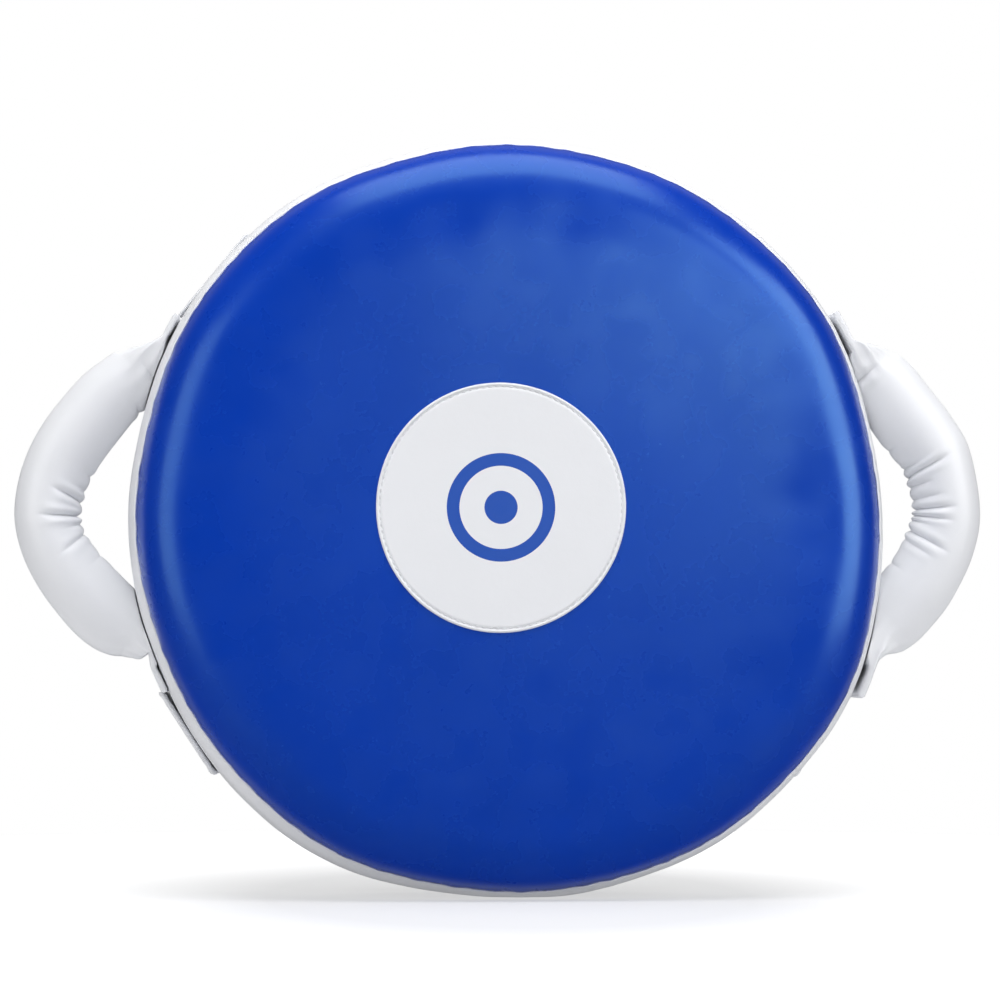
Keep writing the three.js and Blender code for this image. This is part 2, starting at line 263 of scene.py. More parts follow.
def shaped(points):
    """Moves points of the shield to the stuffed cover's uneven outline, and onto the floor."""
    points = np.array(points, float)
    x, z = points[:, 0], points[:, 2] - axis_height
    radius, angle = np.hypot(x, z), np.arctan2(z, x)
    share = smoothstep(radius, 0.35 * seam_radius, seam_radius)
    scale = 1 + rim_wobble(angle) * share / np.maximum(radius, MM)
    points[:, 0] = x * scale
    height = axis_height + z * scale
    near = smoothstep(0.02 - height, 0, 0.02)
    pressed = (height + np.sqrt(height**2 + MM**2)) / 2
    points[:, 2] = height + (pressed - height) * near
    return points


def around_axis(radius, y, count=around):
    a = np.linspace(0, 2 * np.pi, count, endpoint=False)
    return np.stack([radius * np.cos(a), np.full(count, y), axis_height + radius * np.sin(a)], axis=1)


def bulged_radius(y, bulge=band_bulge):
    return seam_radius + bulge * (1 - ((y - band_y) / (rear_seam_y - band_y)) ** 4)


# ---------------------------------------------------------------- materials
class Look:
    """A node tree with short ways to add to it. An input's name is written with _ for each space."""

    def __init__(self, owner):
        owner.use_nodes = True
        self.owner = owner
        self.nodes = owner.node_tree.nodes
        self.wire = owner.node_tree.links.new
        self.shader = self.nodes.get("Principled BSDF")

    def give(self, socket, value):
        if isinstance(value, bpy.types.NodeSocket):
            self.wire(value, socket)
        elif value is not None:
            socket.default_value = value

    def add(self, kind, *values, **inputs):
        """A new node, its inputs given in order or by name."""
        node = self.nodes.new("ShaderNode" + kind)
        for socket, value in zip(node.inputs, values):
            self.give(socket, value)
        for key, value in inputs.items():
            self.give(node.inputs[key.replace("_", " ")], value)
        return node

    def texture(self, kind, scale, stretch=(1, 1, 1), **settings):
        """A procedural texture that reads the object's own coordinates, in metres."""
        place = self.add("TexCoord").outputs["Object"]
        mapping = self.add("Mapping", place, Scale=stretch)
        node = self.add("Tex" + kind, mapping.outputs["Vector"], Scale=scale, **settings)
        return node.outputs["Distance" if kind == "Voronoi" else "Fac"]

    def ramp(self, value, low, high, from_low=0.3, from_high=0.7):
        """Turns a texture's value into a colour between low and high."""
        node = self.add("ValToRGB", value)
        stops = node.color_ramp.elements
        stops[0].position, stops[1].position = from_low, from_high
        stops[0].color, stops[1].color = (*low, 1), (*high, 1)
        return node.outputs["Color"]

    def ranged(self, value, low, high, from_low=0.3, from_high=0.7):
        node = self.add("MapRange", value, From_Min=from_low, From_Max=from_high, To_Min=low, To_Max=high)
        return node.outputs["Result"]

    def math(self, operation, *values):
        node = self.add("Math", *values)
        node.operation = operation
        return node.outputs["Value"]

    def distance(self, vector):
        node = self.add("VectorMath", vector)
        node.operation = "LENGTH"
        return node.outputs["Value"]

    def bumped(self, height, strength, distance, under=None):
        node = self.add("Bump", Strength=strength, Distance=distance, Height=height, Normal=under)
        return node.outputs["Normal"]

    def surface(self, **inputs):
        """Gives the shader its inputs, and returns the material."""
        for key, value in inputs.items():
            self.give(self.shader.inputs[key.replace("_", " ")], value)
        return self.owner


def new_look(name):
    return Look(bpy.data.materials.new(name))


def shade(color, factor):
    return tuple(min(1.0, c * factor) for c in color)


def leather(name, color, roughness, grain=0.9, grain_depth=0.25, crease=0.4, variation=0.05):
    """Coated fabric: a fine pebbled grain, slow unevenness, and a little colour and gloss variation."""
    look = new_look(name)
    cloud = look.texture("Noise", 9, Detail=4)
    smear = look.texture("Noise", 45, Detail=5)
    pores = look.texture("Voronoi", 1000 / grain)
    slow = look.bumped(look.texture("Noise", 60, Detail=3), crease, 0.6 * MM)
    return look.surface(
        Base_Color=look.ramp(cloud, shade(color, 1 - variation), shade(color, 1 + variation)),
        Roughness=look.ranged(smear, roughness * 0.88, roughness * 1.15),
        Normal=look.bumped(pores, grain_depth, 0.08 * MM, slow),
    )


def woven(name, color, thread=0.6, roughness=0.8, depth=0.6):
    """Cloth or webbing: two crossing sets of ridges with loose fibres over them."""
    look = new_look(name)
    warp, weft = [look.texture("Wave", 1000 / thread / 6.28, Distortion=0.4) for _ in range(2)]
    weft.node.bands_direction = "Z"
    cross = look.math("MULTIPLY", warp, weft)
    fuzz = look.texture("Noise", 900, Detail=3)
    return look.surface(
        Base_Color=look.ramp(cross, shade(color, 0.6), shade(color, 1.25), 0.1, 0.8),
        Roughness=look.ranged(fuzz, roughness * 0.9, roughness * 1.1),
        Normal=look.bumped(cross, depth, 0.15 * MM, look.bumped(fuzz, 0.3, 0.1 * MM)),
        Sheen_Weight=0.3,
        Sheen_Roughness=0.5,
    )


def bristled(name, color, size, depth):
    """Hook or loop tape: a carpet of small bent threads."""
    look = new_look(name)
    tufts = look.texture("Voronoi", 1 / size)
    fuzz = look.bumped(look.texture("Noise", 0.7 / size, Detail=5), 0.5, 0.3 * MM)
    return look.surface(
        Base_Color=look.ramp(tufts, shade(color, 1.8), shade(color, 0.5), 0.0, 0.7),
        Roughness=0.9,
        Normal=look.bumped(tufts, depth, 0.5 * MM, fuzz),
        Sheen_Weight=0.5,
    )


def foam(name, color):
    """Cut foam: open cells, and a slightly uneven tint."""
    look = new_look(name)
    tint = look.texture("Noise", 30, Detail=4)
    return look.surface(
        Base_Color=look.ramp(tint, shade(color, 0.85), shade(color, 1.1)),
        Roughness=0.95,
        Normal=look.bumped(look.texture("Voronoi", 900), 0.8, 0.4 * MM),
    )


def plated(name, color=(0.72, 0.73, 0.75), roughness=0.22):
    """Nickel-plated steel with fine scratches and rubbed patches."""
    look = new_look(name)
    rubbed = look.texture("Noise", 220, Detail=6)
    scratch = look.texture("Noise", 500, stretch=(1, 8, 1), Detail=2)
    return look.surface(
        Base_Color=look.ramp(rubbed, shade(color, 0.82), color),
        Roughness=look.ranged(rubbed, roughness * 0.7, roughness * 1.6),
        Normal=look.bumped(scratch, 0.12, 0.05 * MM),
        Metallic=1.0,
    )


def thread(name, color):
    """Twisted sewing thread."""
    look = new_look(name)
    twist = look.texture("Noise", 2600, Detail=3)
    return look.surface(
        Base_Color=look.ramp(twist, shade(color, 0.75), shade(color, 1.1)),
        Roughness=0.6,
        Normal=look.bumped(twist, 0.5, 0.1 * MM),
    )


def printed_patch(name, color, ink):
    """White coated fabric with a plain ring and dot printed on it."""
    look = Look(leather(name, color, 0.42, grain=0.8, variation=0.015))
    place = look.add("TexCoord").outputs["Object"]
    flat = look.add("VectorMath", place, (1, 0, 1), (-patch_middle.x, 0, -patch_middle.z))
    flat.operation = "MULTIPLY_ADD"
    share = look.ranged(look.distance(flat.outputs["Vector"]), 0, 1, 0, patch_radius)
    printed = look.ramp(share, (1, 1, 1), (0, 0, 0), 0, 0.13)
    bands = printed.node.color_ramp
    bands.interpolation = "CONSTANT"
    for position, value in ((0.33, 1), (0.43, 0)):
        bands.elements.new(position).color = (value, value, value, 1)
    mix = look.add("Mix", printed)
    mix.data_type = "RGBA"
    look.give(mix.inputs[6], look.shader.inputs["Base Color"].links[0].from_socket)
    look.give(mix.inputs[7], (*ink, 1))
    return look.surface(Base_Color=mix.outputs[2])


blue = leather("blue_leather", (0.0, 0.034, 0.385), 0.27, grain_depth=0.03, crease=0.03, variation=0.04)
Look(blue).surface(Specular_Tint=(0.32, 0.72, 1.0, 1), Specular_IOR_Level=0.85)
white = leather("white_leather", (0.78, 0.79, 0.82), 0.42, grain_depth=0.2, crease=0.25, variation=0.02)
strap_white = leather("strap_leather", (0.78, 0.79, 0.82), 0.5, grain=1.1, grain_depth=0.35, variation=0.03)
patch_white = printed_patch("patch_leather", (0.77, 0.78, 0.81), (0.003, 0.07, 0.42))
black = leather("black_panel", (0.018, 0.019, 0.021), 0.5, grain=1.2, grain_depth=0.5, variation=0.2)
black_tape = woven("black_tape", (0.02, 0.02, 0.022), 0.7)
webbing = woven("webbing", (0.03, 0.03, 0.034), 1.0)
hooks = bristled("hook_tape", (0.012, 0.012, 0.013), 0.9 * MM, 1.0)
loops = bristled("loop_tape", (0.014, 0.014, 0.015), 0.5 * MM, 0.6)
dense = foam("dense_foam", (0.05, 0.055, 0.06))
soft = foam("soft_foam", (0.60, 0.55, 0.38))
steel = plated("plated_steel")
white_thread = thread("white_thread", (0.74, 0.75, 0.78))
black_thread = thread("black_thread", (0.03, 0.03, 0.032))
zip_nylon = leather("zip_nylon", (0.02, 0.02, 0.022), 0.35, grain=0.4, grain_depth=0.1, variation=0.2)


def stand_in(piece, node, body="shield"):
    """Puts the piece in the place of a CAD node, on a body."""
    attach(piece, body)
    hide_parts(node)
    return piece


# ---------------------------------------------------------------- the stuffed body, as one simulated cloth
def edge_rings(steps):
    """(radius, y) down the rounded edge of the strike cover, from the flat face to the seam."""
    flat = seam_radius - cap_depth
    a = np.linspace(0, np.pi / 2, steps + 1)
    return [(flat + cap_depth * math.sin(t), seam_y - cap_depth * math.cos(t)) for t in a]


def body_profile():
    """Rings of the body from under the patch to the rear seam, each tagged with its piece."""
    rings = [(r, face_y, "cover") for r in np.linspace(under_patch, seam_radius - cap_depth, 18)[:-1]]
    rings += [(r, y, "cover") for r, y in edge_rings(10)]
    depths = np.linspace(seam_y, rear_seam_y, 13)[1:]
    rings += [(bulged_radius(y), y, "band") for y in depths]
    return rings


def disc_grid(radius, y, cells):
    """A square grid bent into a disc, so that no point has many narrow faces."""
    u, v = np.meshgrid(np.linspace(-1, 1, cells + 1), np.linspace(-1, 1, cells + 1))
    x, z = u * np.sqrt(1 - v**2 / 2), v * np.sqrt(1 - u**2 / 2)
    points = np.stack([radius * x, np.full_like(x, y), axis_height + radius * z], axis=2)
    faces = grid_faces(cells + 1, cells + 1, wrap_columns=False)
    n = cells + 1
    rim = [(k, cells) for k in range(cells)] + [(cells, cells - k) for k in range(cells)]
    rim += [(cells - k, 0) for k in range(cells)] + [(0, k) for k in range(cells)]
    return points.reshape(-1, 3), faces, [i * n + j for i, j in rim]


def disc_start(radius, y):
    """A disc's middle: its points, its faces, its rim and the angles of the rim's points."""
    points, faces, rim = disc_grid(radius, y, around // 4)
    angles = np.arctan2(points[rim][:, 2] - axis_height, points[rim][:, 0])
    return list(points), faces, rim, angles


def add_ring(points, faces, last, angles, radius, y):
    """Adds a ring round the disc's axis, and the faces that join it to the last one."""
    here = list(range(len(points), len(points) + around))
    points += [(radius * math.cos(a), y, axis_height + radius * math.sin(a)) for a in angles]
    faces += [(last[k - 1], last[k], here[k], here[k - 1]) for k in [*range(1, around), 0]]
    return here


def stuffed_body():
    """The whole cover as one mesh. Returns the piece, its faces' tags, and the points to hold still."""
    points, faces, last, angles = disc_start(under_patch, face_y)
    tags = ["cover"] * len(faces)
    held = []
    for radius, y, tag in body_profile()[1:]:
        last = add_ring(points, faces, last, angles, radius, y)
        tags += [tag] * around
        if abs(y - seam_y) < 1e-6 or abs(y - rear_seam_y) < 1e-6:
            held += last
    faces.append(tuple(last))
    tags.append("rear")
    faces = [f[::-1] for f in faces]
    return add_mesh("body", points, faces), tags, held


def evened(piece, values, held, passes=7):
    """Averages a value at each point with its neighbours' a few times, and keeps it 0 at held points."""
    ends = np.array([tuple(e.vertices) for e in piece.data.edges])
    neighbours = np.bincount(ends.ravel(), minlength=len(values))
    for _ in range(passes):
        total = np.zeros(len(values))
        np.add.at(total, ends[:, 0], values[ends[:, 1]])
        np.add.at(total, ends[:, 1], values[ends[:, 0]])
        values = (values + total / neighbours) / 2
        values[held] = 0
    return values


def inflated(piece, held, pressure, cap, frames=20):
    """Runs cloth with air pressure, then limits smoothly how far each point has moved."""
    rest = points_of(piece)
    group = piece.vertex_groups.new(name="held")
    group.add([int(i) for i in held], 1.0, "REPLACE")
    modifier = piece.modifiers.new("cloth", "CLOTH")
    settings = modifier.settings
    settings.quality = 6
    settings.mass = 0.2
    settings.tension_stiffness = settings.compression_stiffness = 30
    settings.shear_stiffness = 10
    settings.bending_stiffness = 4
    settings.use_pressure = True
    settings.uniform_pressure_force = pressure
    settings.vertex_group_mass = "held"
    settings.effector_weights.gravity = 0
    modifier.collision_settings.use_collision = False
    scene = bpy.context.scene
    for step in range(1, frames + 1):
        scene.frame_set(step)
    evaluated = piece.evaluated_get(bpy.context.evaluated_depsgraph_get())
    moved = np.array([v.co for v in evaluated.data.vertices])
    piece.modifiers.remove(modifier)
    scene.frame_set(1)
    shift = moved - rest
    out = np.array([v.normal for v in piece.data.vertices])
    rise = (shift * out).sum(1)
    rise = np.where(rise > 0, cap * np.tanh(rise / cap), -sink_cap * np.tanh(-rise / sink_cap))
    place_points(piece, rest + out * evened(piece, rise, held)[:, None])
    return piece


def part_of(piece, tags, tag, name, material):
    """The faces with that tag as a piece of its own."""
    points = points_of(piece)
    faces = [tuple(p.vertices) for p, t in zip(piece.data.polygons, tags) if t == tag]
    used = sorted({i for f in faces for i in f})
    number = {old: new for new, old in enumerate(used)}
    return add_mesh(name, points[used], [[number[i] for i in f] for f in faces], material)


def seam_pucker(points):
    """Height of the small gathers that stitching pulls into the cover beside both seams."""
    angle = np.arctan2(points[:, 2] - axis_height, points[:, 0])
    reach = sum(np.exp(-np.abs(points[:, 1] - y) / (9 * MM)) for y in (seam_y, rear_seam_y))
    beat = np.sin(71 * angle + 2.1 * np.sin(5 * angle))
    beat += 0.6 * np.sin(113 * angle + 1.7 * np.sin(7 * angle + 1))
    return 0.28 * MM * beat * np.minimum(reach, 1)


def lower_left_sag(points):
    """The filling has settled into a swelling of the band at the lower left."""
    angle = np.arctan2(points[:, 2] - axis_height, points[:, 0])
    off = np.angle(np.exp(1j * (angle - math.radians(-133))))
    deep = 1 - np.clip(np.abs(points[:, 1] - band_y) / (rear_seam_y - band_y), 0, 1) ** 2
    return 3.2 * MM * np.exp(-((off / 0.42) ** 2)) * deep


def band_swell(points):
    """How far the stuffing and the stitching push the band out at each point, in metres."""
    seam = np.minimum(np.abs(points[:, 1] - seam_y), np.abs(points[:, 1] - rear_seam_y))
    free = smoothstep(seam, 0, 12 * MM)
    lumps = 0.9 * MM * waviness(points, 60 * MM) + 0.2 * MM * waviness(points, 24 * MM, 6.0)
    return (lumps + lower_left_sag(points)) * free + seam_pucker(points)


def dented(piece):
    """Adds the unevenness of hand-filled padding, and the gathers at the seams."""
    points = points_of(piece)
    out = points - (0, 0, axis_height)
    out[:, 1] = 0
    out /= np.maximum(np.linalg.norm(out, axis=1, keepdims=True), 1e-9)
    side = smoothstep(points[:, 1], face_y + 0.4 * cap_depth, seam_y)
    points += out * (side * band_swell(points))[:, None]
    radius = np.hypot(points[:, 0], points[:, 2] - axis_height)
    bend = smoothstep(radius, seam_radius - 1.2 * cap_depth, seam_radius - 0.4 * cap_depth) * (1 - side)
    points += out * (bend * 0.3 * MM * waviness(points, 80 * MM, 13.0))[:, None]
    points[:, 1] += (1 - side) * 0.55 * MM * waviness(points, 95 * MM, 3.0) * smoothstep(radius, 0.02, 0.08)
    place_points(piece, shaped(points))
    return piece


def tucked_edge(piece, y, depth=3 * MM):
    """Turns the cover's sewn edge a little way in under the cord that covers the seam."""
    mesh = bmesh.new()
    mesh.from_mesh(piece.data)
    edges = [e for e in mesh.edges if e.is_boundary and abs(e.verts[0].co.y - y) < 6 * MM]
    made = bmesh.ops.extrude_edge_only(mesh, edges=edges)["geom"]
    for v in [g for g in made if isinstance(g, bmesh.types.BMVert)]:
        out = Vector((v.co.x, 0, v.co.z - axis_height))
        v.co -= out.normalized() * depth
    mesh.to_mesh(piece.data)
    mesh.free()
    piece.data.polygons.foreach_set("use_smooth", [True] * len(piece.data.polygons))
    return piece


body, body_tags, body_held = stuffed_body()
inflated(body, body_held, 4, swell_cap)
cover = part_of(body, body_tags, "cover", "strike_cover", blue)
band = part_of(body, body_tags, "band", "stuffed_band", white)
bpy.data.objects.remove(body)
for piece in (cover, band):
    subdivided(piece)
    dented(piece)
tucked_edge(cover, seam_y)
tucked_edge(band, seam_y)
tucked_edge(band, rear_seam_y)
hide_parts("front_cover")
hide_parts("side_band")
for piece, slot in ((cover, "blue_cover"), (band, "white_cover")):
    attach(piece, "shield")

cover_tree = BVHTree.FromObject(cover, bpy.context.evaluated_depsgraph_get())


# ---------------------------------------------------------------- stitches
stitch_length = 3.2 * MM
stitch_gap = 0.25 * stitch_length


def stitch_row(name, line, outward, material, thick=0.42 * MM, closed=False):
    """One small bent capsule for each stitch of a row, its ends sunk into the fabric."""
    line = np.asarray(line, float)
    if closed:
        line = np.vstack([line, line[:1]])
        outward = np.vstack([outward, outward[:1]])
    along = np.concatenate([[0], np.cumsum(np.linalg.norm(np.diff(line, axis=0), axis=1))])
    count = max(2, round(along[-1] / (stitch_length + stitch_gap)))
    pitch = along[-1] / count
    rings, sides = 5, 6
    points = []

    def at(values, place):
        return np.array([np.interp(place, along, values[:, c]) for c in range(3)])

    for k in range(count):
        for t in np.linspace(-1, 1, rings):
            place = (k + 0.5) * pitch + t * 0.4 * pitch
            ahead = at(line, place + 0.1 * pitch) - at(line, place - 0.1 * pitch)
            ahead /= max(np.linalg.norm(ahead), 1e-12)
            out = at(outward, place)
            out -= out @ ahead * ahead
            out /= max(np.linalg.norm(out), 1e-12)
            side = np.cross(ahead, out)
            size = thick * math.sqrt(max(0.02, 1 - 0.9 * t**2))
            middle_line = at(line, place) + out * thick * (0.55 - 1.1 * t**2)
            for a in np.linspace(0, 2 * np.pi, sides, endpoint=False):
                points.append(middle_line + out * size * math.sin(a) * 0.8 + side * size * math.cos(a))
    return capped_tubes(name, points, rings, sides, material)


# ---------------------------------------------------------------- patch
patch_rise = 1.15 * MM
patch_edge = [  # (distance in from the edge, rise above the cover) in mm: the sewn groove and the cut edge
    (5, 1.15), (4.2, 1.15), (3.6, 1.1), (3.1, 0.9), (2.7, 0.55), (2.3, 0.45), (1.9, 0.75), (1.5, 1.15),
    (1.1, 1.3), (0.7, 1.2), (0.35, 0.95), (0.1, 0.5), (0, -0.2),
]


def on_cover(x, z, lift=0.0):
    """A point of the strike face in front of (x, z)."""
    hit = cover_tree.ray_cast(Vector((x, face_y - 0.05, z)), Vector((0, 1, 0)))[0]
    return Vector((x, hit.y - lift, z))


def round_patch():
    inner = np.linspace(0, patch_radius - 5 * MM, 26, endpoint=False)[1:]
    rings = [(r, patch_rise) for r in inner] + [(patch_radius - d * MM, h * MM) for d, h in patch_edge]
    points = [on_cover(patch_middle.x, patch_middle.z, patch_rise)]
    for r, rise in rings:
        near_edge = smoothstep(r, patch_radius - 6 * MM, patch_radius)
        for k in range(around):
            a = 2 * math.pi * k / around
            uneven = r * (1 + 0.003 * math.sin(3 * a + 1) * (r / patch_radius))
            ripple = 0.12 * MM * math.sin(34 * a + 2 * math.sin(3 * a)) * near_edge
            x, z = patch_middle.x + uneven * math.cos(a), patch_middle.z + uneven * math.sin(a)
            points.append(on_cover(x, z, rise + float(ripple)))
    faces = [(0, 1 + k, 1 + (k + 1) % around) for k in range(around)]
    faces += [tuple(1 + i for i in f) for f in grid_faces(len(rings), around)]
    return add_mesh("round_patch", points, faces, patch_white)


patch = stand_in(round_patch(), "target_patch")
sewn_radius = patch_radius - 2.5 * MM
sewn = []
for a in np.linspace(0, 2 * np.pi, 240, endpoint=False):
    x, z = patch_middle.x + sewn_radius * math.cos(a), patch_middle.z + sewn_radius * math.sin(a)
    sewn.append(on_cover(x, z, 0.55 * MM))
outward = np.tile([0.0, -1.0, 0.0], (len(sewn), 1))
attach(stitch_row("patch_stitches", sewn, outward, white_thread, closed=True), "shield")


# ---------------------------------------------------------------- cords round the seams, rear panel
def radial(points):
    out = np.array(points) - (0, 0, axis_height)
    out[:, 1] = 0
    return out / np.linalg.norm(out, axis=1, keepdims=True)


def seam_cord(name, ring, y, section, material):
    line = around_axis(ring, y, 2 * around)
    angle = np.arctan2(line[:, 2] - axis_height, line[:, 0])
    line[:, 1] += 0.25 * MM * np.sin(9 * angle + 1.3) + 0.12 * MM * np.sin(41 * angle)
    line = shaped(line)
    return swept(name, line, radial(line), section, material=material)


def welt(share):
    return oval(piping_radius, piping_radius) * (1 + 0.05 * math.sin(2 * math.pi * 37 * share))


def folded_binding(share):
    pinch = 1 + 0.07 * math.sin(2 * math.pi * 83 * share + 2 * math.sin(2 * math.pi * 5 * share))
    return oval(2.1 * MM * pinch, 1.9 * MM)


piping = seam_cord("seam_piping", piping_ring, seam_y, welt, white)
stand_in(piping, "front_piping")
binding = seam_cord("seam_binding", binding_ring, binding_y, folded_binding, black_tape)
stand_in(binding, "rear_binding")


def rear_panel():
    points, faces, last, angles = disc_start(60 * MM, panel_y)
    for radius in np.linspace(60 * MM, binding_ring, 22)[1:]:
        last = add_ring(points, faces, last, angles, radius, panel_y)
    piece = subdivided(add_mesh("back_panel", points, faces, black))
    points = points_of(piece)
    radius = np.hypot(points[:, 0], points[:, 2] - axis_height)
    slack = 1 - smoothstep(radius, 0.09, 0.19)
    points[:, 1] += slack * (0.8 * MM + 0.5 * MM * waviness(points, 55 * MM, 7.0))
    points[:, 1] += 1.0 * MM * smoothstep(radius, binding_ring - 4 * MM, binding_ring)
    place_points(piece, shaped(points))
    return piece


panel = stand_in(rear_panel(), "rear_panel")


def foam_block(name, node, material):
    """A foam block that follows the cover's uneven outline, just inside it."""
    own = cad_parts[node].data
    points = np.array([v.co for v in own.vertices])
    points[:, [0, 2]] = (points[:, [0, 2]] - (0, axis_height)) * 0.985 + (0, axis_height)
    faces = [tuple(p.vertices) for p in own.polygons]
    stand_in(add_mesh(name, shaped(points), faces, material, smooth=False), node)


foam_block("strike_block", "strike_foam", dense)
foam_block("back_block", "back_foam", dense)
foam_block("core_block", "core_foam", soft)


# ---------------------------------------------------------------- handles
# worked out from where a helper program found the handles' edges in the photo
tube_lines = {  # (distance from the disc's axis, height above the handle's middle, half thickness) in mm
    "left": [
        (214.5, 90.5, 8), (219.5, 85, 13), (226, 78.5, 18.5), (236, 71, 19.7), (247, 60.5, 20.7),
        (263.5, 40, 21.2), (274.5, 19.5, 20.6), (279.8, -3, 19.9), (277.3, -21.5, 19.8), (268, -39, 21),
        (256, -54, 22), (245, -65.5, 22), (234.5, -73, 21), (226, -78.5, 17.5), (219.5, -84, 14),
        (214.5, -90, 7.5),
    ],
    "right": [
        (213.5, 95.5, 7), (219, 88.5, 13.5), (226, 81, 18), (234, 73.5, 20), (246, 57.5, 21.2),
        (257.5, 43, 21.4), (266.5, 28, 20.6), (272.2, -1.5, 20.1), (268, -22.5, 20.8), (257, -45, 21.3),
        (245, -59.5, 21.6), (235, -70, 21), (227, -78, 18), (222, -85, 12.5), (219.5, -92, 6.5),
    ],
}
tab_ends = {  # (height above the handle's middle, gap from the band to the middle of the tab) in mm
    "left": [(113, 2.9), (-115, 2.9)],
    "right": [(117, 4.0), (-116, 5.0)],
}
tab_half_thick = {"left": 2.3, "right": 3.0}
tab_half_width = 25.5
tube_half_width = 20.6
steps_along = 400
steps_round = 64
# (height above the handle's middle, deep, wide, rise towards the front, reach round the tube in degrees)
folds = {
    "left": [
        (80, 1.7, 1.6, 5, 100), (70, 1.2, 1.3, 3, 60), (25, 1.3, 1.6, 1, 45), (13, 0.9, 1.3, 4, 60),
        (4, 2.5, 1.3, 7, 92), (-8.5, 2.9, 1.4, 1.5, 108), (-17, 1.0, 1.2, -2, 66), (-27, 1.6, 1.5, -6, 92),
        (-44, 0.8, 2.0, -4, 62), (-77, 1.3, 1.6, -6, 90),
    ],
    "right": [
        (84, 1.7, 1.4, -1, 108), (47, 0.8, 1.8, 2, 50), (30, 0.9, 1.4, 4, 66), (22, 2.1, 1.2, 7, 112),
        (15, 1.5, 1.1, 3, 70), (6, 1.1, 1.1, 2, 84), (-2.5, 2.1, 1.2, 1.5, 104), (-9.5, 1.8, 1.1, 0, 98),
        (-15, 1.1, 1.1, -2, 60), (-22, 2.2, 1.3, -6, 104), (-29, 1.0, 1.2, -7, 84), (-48, 0.8, 1.8, -4, 56),
    ],
}


def tab_point(name, height, gap):
    """(distance from the axis, height, half thickness) in mm of a tab that lies along the band."""
    z = height + (handle_height - axis_height) / MM
    return math.sqrt((band_radius / MM + gap) ** 2 - z**2), height, tab_half_thick[name]


def handle_path(name):
    """The middle line of a handle cover between the ends of its sewn tabs, and its half thickness."""
    (top, top_gap), (bottom, bottom_gap) = tab_ends[name]
    upper = [tab_point(name, z, top_gap) for z in (top, top - 9)] + [tab_point(name, 99, top_gap + 0.4)]
    lower = [tab_point(name, z, bottom_gap) for z in (-99, bottom + 9, bottom)]
    line = smooth_line(np.array(upper + tube_lines[name] + lower) * MM, steps_along)
    side = -1 if name == "left" else 1
    points = np.stack([side * line[:, 0], np.full(len(line), band_y), handle_height + line[:, 1]], axis=1)
    return points, line[:, 2]


def fold_depth(name, heights, along, angle):
    """How far the folds pull in each point (row: along the tube, column: round it), in metres."""
    round_tube = np.degrees(np.angle(np.exp(1j * (angle - np.pi))))
    depth = np.zeros((len(along), len(angle)))
    for height, deep, wide, rise, reach in folds[name]:
        at = np.interp(-height * MM, -heights, along)
        off = (along - at)[:, None] / MM + rise * round_tube / 90
        near = smoothstep(reach - np.abs(round_tube), 0, 40)
        groove = np.exp(-np.abs(off) / wide)
        beside = np.exp(-(((np.abs(off) - 3.2 * wide) / (2 * wide)) ** 2))
        depth += deep * MM * near * (groove - 0.3 * beside)
    return depth


def clear_of_band(points, gap):
    """Flattens what would sink into the band against its surface."""
    points = points.copy()
    x, z = points[:, 0], points[:, 2] - axis_height
    radius = np.hypot(x, z)
    y = np.clip(points[:, 1], seam_y, rear_seam_y)
    foot = np.stack([x / radius * bulged_radius(y), y, axis_height + z / radius * bulged_radius(y)], axis=1)
    least = bulged_radius(y) + band_swell(foot) + gap
    scale = np.maximum(1, least / radius)
    points[:, 0] = x * scale
    points[:, 2] = axis_height + z * scale
    return points


def handle_shape(name, shrink, material, creased=True, trim=0):
    """A tube that flattens into a sewn tab at each end. Shrink makes the foam that lies inside it."""
    line, half_thick = handle_path(name)
    side = -1 if name == "left" else 1
    ahead = tangents(line)
    out = np.cross(ahead, (0, 1, 0))
    out *= np.sign(out[len(out) // 2, 0] * side)
    along = np.concatenate([[0], np.cumsum(np.linalg.norm(np.diff(line, axis=0), axis=1))])
    from_end = np.minimum(along, along[-1] - along) / MM
    flat = 1 - smoothstep(from_end, 18, 52)
    half_width = (tube_half_width + (tab_half_width - tube_half_width) * flat) * MM
    closing = smoothstep(from_end, -1, 2)
    power = 2 / (2 + 3 * (1 - smoothstep(from_end, 16, 44)))
    angle = np.linspace(0, 2 * np.pi, steps_round, endpoint=False)
    cosine, sine = np.cos(angle), np.sin(angle)
    a = np.sign(cosine) * np.abs(cosine) ** power[:, None]
    b = np.sign(sine) * np.abs(sine) ** power[:, None]
    a *= np.maximum(half_thick * (0.35 + 0.65 * closing) - shrink, 0.3 * MM)[:, None]
    b *= np.maximum(half_width - shrink, 0.3 * MM)[:, None]
    if creased:
        pull = fold_depth(name, line[:, 2] - handle_height, along, angle)
        gather = smoothstep(from_end, 20, 28) * (1 - smoothstep(from_end, 34, 60))
        pull += 0.45 * MM * gather[:, None] * np.sin(13 * angle + 3 * np.sin(9 * along / along[-1])[:, None])
        spread = line[:, None] + 20 * MM * out[:, None] * cosine[:, None]
        lumps = waviness(spread.reshape(-1, 3), 34 * MM, 5.0 + side).reshape(pull.shape)
        pull += 0.6 * MM * lumps * smoothstep(from_end, 18, 50)[:, None]
        a -= cosine * pull
        b -= sine * pull
    rings = line[:, None] + a[:, :, None] * out[:, None] + b[:, :, None] * np.array([0.0, 1.0, 0.0])
    rings = rings[trim:len(rings) - trim]
    points = clear_of_band(rings.reshape(-1, 3), 0.7 * MM + shrink)
    label = "_sleeve" if creased else "_sleeve_foam"
    return capped_tubes(name + label, points, len(rings), steps_round, material)


